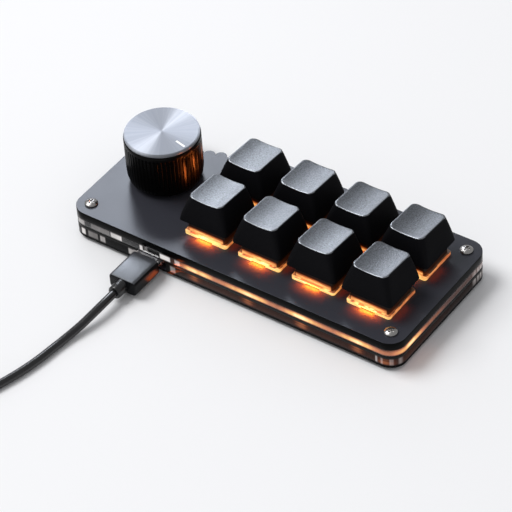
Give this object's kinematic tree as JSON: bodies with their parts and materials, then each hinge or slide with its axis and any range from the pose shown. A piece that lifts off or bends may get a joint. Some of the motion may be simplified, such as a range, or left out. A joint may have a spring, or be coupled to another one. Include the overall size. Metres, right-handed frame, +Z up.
{
  "type": "macro keypad",
  "caption": "Small macro keypad: backlit mechanical keys and a rotary push knob on a screwed sandwich case of black and clear sheet, with a USB lead in its front edge.",
  "frame": {"origin": "middle of the case's footprint, on the table", "axes": "+X along the key rows, from the knob to the keys; +Y away from the user; +Z up"},
  "size_m": [0.1513, 0.1569, 0.0284],
  "materials": {
    "black_acrylic": "satin black sheet",
    "clear_acrylic": "polished clear sheet",
    "circuit_board": "black solder mask",
    "brass": "plain",
    "steel": "plain",
    "rubber": "matte",
    "switch_housing": "milky clear",
    "black_plastic": "moulded",
    "led": "lit",
    "bright_metal": "nickel plated",
    "white_plastic": "plain",
    "knob_black": "gloss, ribbed",
    "spun_aluminium": "spun",
    "cable_black": "soft moulded",
    "keycap_black": "fine texture",
    "stem_plastic": "plain",
    "spring_steel": "plain"
  },
  "bodies": {
    "case": {"top_plate": "black_acrylic", "base_plate": "black_acrylic", "upper_spacer": "clear_acrylic", "lower_spacer": "clear_acrylic", "circuit_board": "circuit_board", "case_standoffs": "brass", "top_screws": "steel", "base_screws": "steel", "rubber_feet": "rubber", "switch_bases": "switch_housing", "switch_covers": "switch_housing", "switch_contacts": "brass", "hotswap_sockets": "black_plastic", "key_leds": "led", "microcontroller": "black_plastic", "board_parts": "black_plastic", "usb_socket": "bright_metal", "encoder_case": "black_plastic", "encoder_bushing": "bright_metal", "push_dome": "steel", "usb_plug_shell": "bright_metal", "usb_plug_grip": "cable_black", "cable_collar": "cable_black", "usb_cable": "cable_black", "cable_coil": "cable_black", "cable_tie": "cable_black", "far_strain_relief": "cable_black", "far_plug_grip": "cable_black", "far_plug_shell": "bright_metal", "spring_1": "spring_steel", "spring_2": "spring_steel", "spring_3": "spring_steel", "spring_4": "spring_steel", "spring_5": "spring_steel", "spring_6": "spring_steel", "spring_7": "spring_steel", "spring_8": "spring_steel"},
    "rotor": {"encoder_rotor": "white_plastic"},
    "knob": {"encoder_shaft": "bright_metal", "knob_body": "knob_black", "knob_cap": "spun_aluminium", "knob_marker": "white_plastic", "knob_grub_screw": "steel"},
    "key_1": {"keycap_1": "keycap_black", "stem_1": "stem_plastic"},
    "key_2": {"keycap_2": "keycap_black", "stem_2": "stem_plastic"},
    "key_3": {"keycap_3": "keycap_black", "stem_3": "stem_plastic"},
    "key_4": {"keycap_4": "keycap_black", "stem_4": "stem_plastic"},
    "key_5": {"keycap_5": "keycap_black", "stem_5": "stem_plastic"},
    "key_6": {"keycap_6": "keycap_black", "stem_6": "stem_plastic"},
    "key_7": {"keycap_7": "keycap_black", "stem_7": "stem_plastic"},
    "key_8": {"keycap_8": "keycap_black", "stem_8": "stem_plastic"}
  },
  "joints": [
    {"name": "key_1_press", "type": "slide", "parent": "case", "child": "key_1", "axis": [0, 0, -1], "range_m": [0, 0.004], "stiffness_N_per_m": 65, "springref_m": -0.0055, "deforming": ["spring_1"]},
    {"name": "key_2_press", "type": "slide", "parent": "case", "child": "key_2", "axis": [0, 0, -1], "range_m": [0, 0.004], "stiffness_N_per_m": 65, "springref_m": -0.0055, "deforming": ["spring_2"]},
    {"name": "key_3_press", "type": "slide", "parent": "case", "child": "key_3", "axis": [0, 0, -1], "range_m": [0, 0.004], "stiffness_N_per_m": 65, "springref_m": -0.0055, "deforming": ["spring_3"]},
    {"name": "key_4_press", "type": "slide", "parent": "case", "child": "key_4", "axis": [0, 0, -1], "range_m": [0, 0.004], "stiffness_N_per_m": 65, "springref_m": -0.0055, "deforming": ["spring_4"]},
    {"name": "key_5_press", "type": "slide", "parent": "case", "child": "key_5", "axis": [0, 0, -1], "range_m": [0, 0.004], "stiffness_N_per_m": 65, "springref_m": -0.0055, "deforming": ["spring_5"]},
    {"name": "key_6_press", "type": "slide", "parent": "case", "child": "key_6", "axis": [0, 0, -1], "range_m": [0, 0.004], "stiffness_N_per_m": 65, "springref_m": -0.0055, "deforming": ["spring_6"]},
    {"name": "key_7_press", "type": "slide", "parent": "case", "child": "key_7", "axis": [0, 0, -1], "range_m": [0, 0.004], "stiffness_N_per_m": 65, "springref_m": -0.0055, "deforming": ["spring_7"]},
    {"name": "key_8_press", "type": "slide", "parent": "case", "child": "key_8", "axis": [0, 0, -1], "range_m": [0, 0.004], "stiffness_N_per_m": 65, "springref_m": -0.0055, "deforming": ["spring_8"]},
    {"name": "knob_turn", "type": "hinge", "parent": "case", "child": "rotor", "pos_m": [-0.0416, 0.00172, 0], "axis": [0, 0, 1], "continuous": true},
    {"name": "knob_push", "type": "slide", "parent": "rotor", "child": "knob", "axis": [0, 0, -1], "range_m": [0, 0.0005], "stiffness_N_per_m": 4000, "springref_m": -0.0003}
  ]
}
